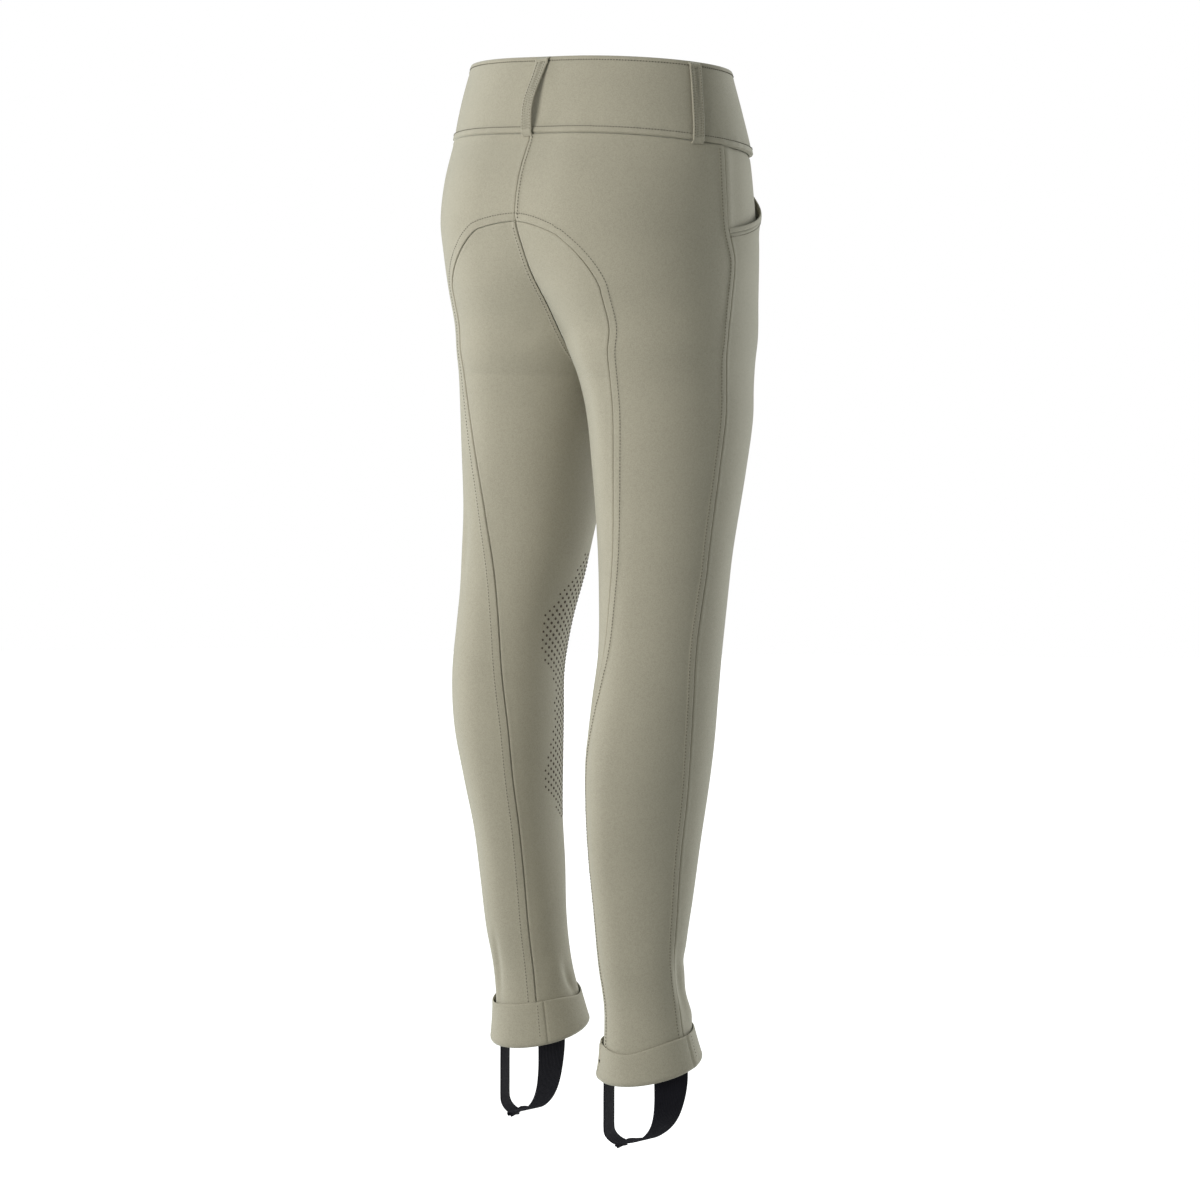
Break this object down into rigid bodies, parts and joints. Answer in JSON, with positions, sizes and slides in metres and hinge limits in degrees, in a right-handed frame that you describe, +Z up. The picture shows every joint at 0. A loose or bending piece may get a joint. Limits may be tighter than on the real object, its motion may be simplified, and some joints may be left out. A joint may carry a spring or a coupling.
{
  "type": "jodhpurs",
  "caption": "Child's pull-on riding jodhpurs with a wide waistband, belt loops, an arched seat seam, scooped pockets, turn-ups and elastic stirrups, filled out and hollow.",
  "frame": {"origin": "middle of the waist opening, half way up the waistband, where the wearer's waist holds the garment up", "axes": "+Z up along the body, -Y to the wearer's front, +X to the wearer's left"},
  "size_m": [0.2824, 0.2247, 0.9264],
  "materials": {
    "cloth": "matte stretch cloth, sage beige",
    "edge": "matte narrow strips of the same cloth",
    "elastic": "ribbed dark navy elastic tape"
  },
  "bodies": {
    "root": {"waistband": "cloth", "front_left": "cloth", "front_right": "cloth", "back_left": "cloth", "back_right": "cloth", "pocket_back_left": "cloth", "pocket_back_right": "cloth", "pocket_edge_left": "edge", "pocket_edge_right": "edge", "turn_up_left": "cloth", "turn_up_right": "cloth", "stirrup_left": "elastic", "stirrup_right": "elastic", "belt_loop_centre_back": "edge", "belt_loop_back_left": "edge", "belt_loop_back_right": "edge", "belt_loop_front_left": "edge", "belt_loop_front_right": "edge"}
  },
  "joints": []
}
